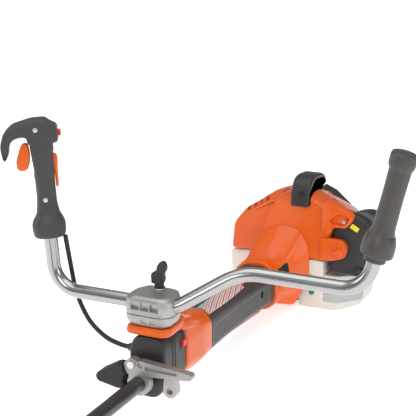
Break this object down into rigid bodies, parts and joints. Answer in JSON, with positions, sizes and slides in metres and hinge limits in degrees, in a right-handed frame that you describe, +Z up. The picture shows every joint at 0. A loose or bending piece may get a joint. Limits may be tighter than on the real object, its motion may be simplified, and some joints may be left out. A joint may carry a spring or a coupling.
{
  "type": "string trimmer",
  "caption": "Petrol string trimmer: straight drive tube with line head and guard, bent handlebar with throttle handle, orange two-stroke engine unit.",
  "frame": {"origin": "middle of the machine's box at ground level, standing on its tank and its guard", "axes": "+Y back along the machine to the engine, -Y forward to the line head, +X to the operator's left, +Z up"},
  "size_m": [0.7404, 1.9105, 0.5604],
  "materials": {
    "orange_shell": "gloss",
    "black_plastic": "fine grain",
    "charcoal_plastic": "fine grain",
    "cream_plastic": "satin",
    "tube_paint": "satin",
    "bar_aluminium": "polished",
    "cast_aluminium": "bead blasted",
    "machined_steel": "machined",
    "steel_zinc": "zinc plated",
    "black_rubber": "matte",
    "hot_steel": "heat stained",
    "ceramic_white": "glazed",
    "filter_felt": "felt",
    "rope_cord": "braided",
    "line_nylon": "clear tint",
    "red_plastic": "gloss",
    "stripe_print": "printed"
  },
  "bodies": {
    "frame": {"drive_tube": "tube_paint", "shaft_bushes": "black_rubber", "clutch_bearing": "machined_steel", "crank_bearings": "machined_steel", "crankcase": "cast_aluminium", "engine_cylinder": "cast_aluminium", "piston": "cast_aluminium", "connecting_rod": "machined_steel", "spark_plug": "ceramic_white", "ignition_coil": "black_plastic", "intake_boot": "black_rubber", "carburettor": "cast_aluminium", "muffler": "hot_steel", "muffler_cover": "orange_shell", "engine_hood": "orange_shell", "hood_arch": "black_plastic", "side_cowl": "cream_plastic", "fan_housing": "orange_shell", "fuel_tank": "cream_plastic", "stand": "black_plastic", "filter_base": "black_plastic", "air_filter": "filter_felt", "starter_housing": "black_plastic", "starter_rope": "rope_cord", "av_housing": "charcoal_plastic", "av_rubbers": "black_rubber", "stripe_band": "stripe_print", "handle_bracket": "orange_shell", "handle_support": "black_plastic", "harness_lug": "cast_aluminium", "rubber_rest": "black_rubber", "gear_housing": "black_plastic", "guard": "black_plastic", "screws": "steel_zinc"},
    "swivel_clamp": {"clamp_lower": "cast_aluminium", "clamp_upper": "cast_aluminium", "throttle_cable": "black_rubber"},
    "handlebar_set": {"handlebar": "bar_aluminium", "control_shells": "charcoal_plastic", "left_hand_grip": "charcoal_plastic"},
    "trigger": {"throttle_trigger": "orange_shell"},
    "lockout": {"throttle_lockout": "orange_shell"},
    "stop_button": {"stop_switch": "red_plastic"},
    "clamp_screw": {"wing_screw": "black_plastic"},
    "drive_line": {"drive_shaft": "machined_steel", "clutch_drum": "machined_steel"},
    "head": {"output_spindle": "machined_steel", "head_housing": "black_plastic", "line_spool": "charcoal_plastic", "cutting_lines": "line_nylon"},
    "bump_button": {"bump_knob": "orange_shell"},
    "crank": {"crankshaft": "machined_steel", "flywheel": "cast_aluminium", "clutch_shoes": "machined_steel"},
    "rope_pulley": {"starter_pulley": "charcoal_plastic"},
    "pull_grip": {"starter_grip": "black_plastic"},
    "tank_cap": {"fuel_cap": "black_plastic"},
    "cover": {"filter_cover": "black_plastic"},
    "cover_lock": {"filter_knob": "orange_shell"},
    "primer": {"primer_bulb": "black_rubber"}
  },
  "joints": [
    {"name": "handle_swivel", "type": "hinge", "parent": "frame", "child": "swivel_clamp", "pos_m": [-0.08, 0.2119, 0.2088], "axis": [0, 0.0901, 0.9959], "range_deg": [0, 90], "deforming": ["throttle_cable"]},
    {"name": "handle_tilt", "type": "hinge", "parent": "swivel_clamp", "child": "handlebar_set", "pos_m": [-0.08, 0.1888, 0.24201], "axis": [1, 0, 0], "range_deg": [-20, 20]},
    {"name": "clamp_screw_turn", "type": "hinge", "parent": "frame", "child": "clamp_screw", "pos_m": [-0.08, 0.21821, 0.27851], "axis": [0, 0.0901, 0.9959], "continuous": true},
    {"name": "throttle_pull", "type": "hinge", "parent": "handlebar_set", "child": "trigger", "pos_m": [-0.32442, 0.19732, 0.51636], "axis": [0.4748, -0.8737, 0.1057], "range_deg": [0, 14], "stiffness_Nm_per_rad": 0.8},
    {"name": "lockout_press", "type": "hinge", "parent": "handlebar_set", "child": "lockout", "pos_m": [-0.27445, 0.21434, 0.43263], "axis": [0.4748, -0.8737, 0.1057], "range_deg": [0, 4], "stiffness_Nm_per_rad": 0.6},
    {"name": "stop_press", "type": "slide", "parent": "handlebar_set", "child": "stop_button", "axis": [-0.8763, -0.4805, -0.0354], "range_m": [0, 0.003], "stiffness_N_per_m": 600},
    {"name": "drive_spin", "type": "hinge", "parent": "frame", "child": "drive_line", "pos_m": [-0.08, 0.177, 0.11154], "axis": [0, 0.9959, -0.0901], "continuous": true},
    {"name": "head_spin", "type": "hinge", "parent": "frame", "child": "head", "pos_m": [-0.08, -0.84682, 0.20413], "axis": [0, -0.645, -0.7642], "continuous": true},
    {"name": "bump_press", "type": "slide", "parent": "head", "child": "bump_button", "axis": [0, 0.645, 0.7642], "range_m": [0, 0.006], "stiffness_N_per_m": 800, "springref_m": -0.002},
    {"name": "crank_spin", "type": "hinge", "parent": "frame", "child": "crank", "pos_m": [-0.08, 0.77456, 0.05751], "axis": [0, 0.9959, -0.0901], "continuous": true},
    {"name": "starter_pull", "type": "slide", "parent": "frame", "child": "pull_grip", "axis": [0, 0.0901, 0.9959], "range_m": [0, 0.35], "stiffness_N_per_m": 20, "springref_m": -0.1, "deforming": ["starter_rope"]},
    {"name": "pulley_spin", "type": "hinge", "parent": "frame", "child": "rope_pulley", "pos_m": [-0.08, 0.93391, 0.04309], "axis": [0, -0.9959, 0.0901], "range_deg": [0, 717]},
    {"name": "fuel_cap_turn", "type": "hinge", "parent": "frame", "child": "tank_cap", "pos_m": [0.06, 0.91526, 0.03675], "axis": [0, 0.9959, -0.0901], "continuous": true},
    {"name": "filter_cover_pull", "type": "slide", "parent": "frame", "child": "cover", "axis": [1, 0, 0], "range_m": [0, 0.06]},
    {"name": "filter_knob_turn", "type": "hinge", "parent": "frame", "child": "cover_lock", "pos_m": [0.076, 0.7326, 0.14865], "axis": [0, 0.9959, -0.0901], "range_deg": [0, 90]},
    {"name": "primer_press", "type": "slide", "parent": "cover", "child": "primer", "axis": [0, 0.9959, -0.0901], "range_m": [0, 0.004], "stiffness_N_per_m": 500}
  ],
  "couplings": [
    {"joint": "head_spin", "follows": "drive_spin", "ratio": -0.71429},
    {"joint": "pulley_spin", "follows": "starter_pull", "rad_per_m": 35.714}
  ]
}
